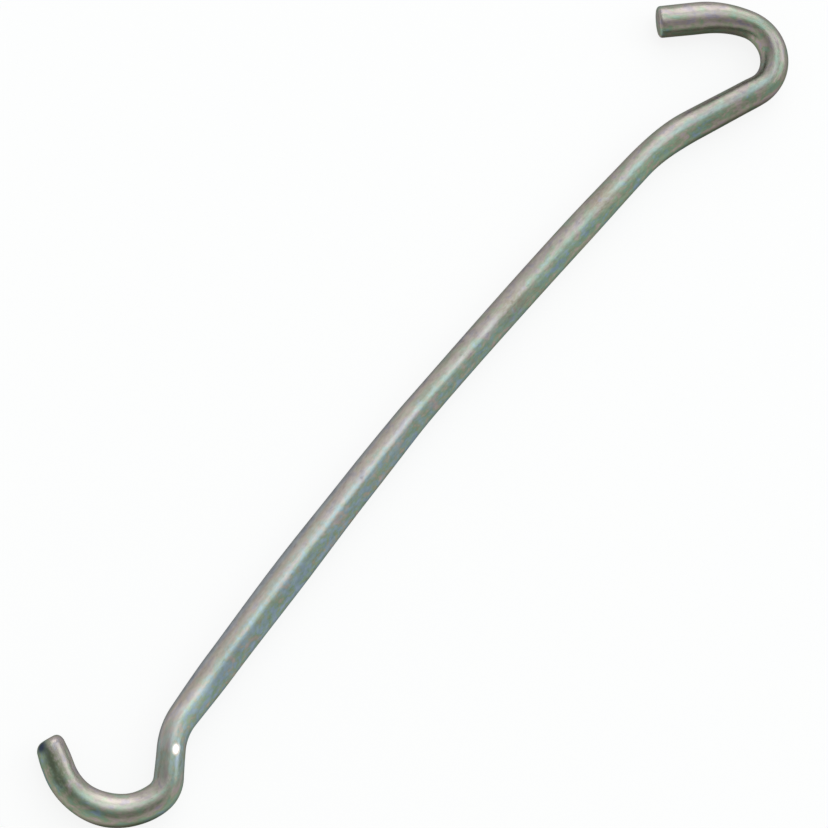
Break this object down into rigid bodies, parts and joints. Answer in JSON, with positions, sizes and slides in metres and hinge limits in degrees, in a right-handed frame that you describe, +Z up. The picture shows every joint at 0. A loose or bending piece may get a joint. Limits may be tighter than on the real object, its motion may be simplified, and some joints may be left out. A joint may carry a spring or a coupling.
{
  "type": "weigh-below hook",
  "caption": "Round-wire hook for weighing below a balance: an open hook on each end of a long, slightly bowed shank, both opening to the same side.",
  "frame": {"origin": "centre of the hook's bounding box, on the surface that it lies on", "axes": "the hook lies flat; +X runs along the line of pull, from the middle of the load hook's seat to the middle of the balance hook's crown; +Y points to the side on which both hooks open; +Z is up, square to the plane in which the wire is bent"},
  "size_m": [0.1018, 0.0164, 0.003],
  "materials": {
    "plated_wire": "drawn steel wire with thin zinc plating and a clear iridescent passivation: satin, with fine lines along the wire and faint green, blue, straw and pink patches"
  },
  "bodies": {
    "root": {"wire_hook": "plated_wire"}
  },
  "joints": []
}
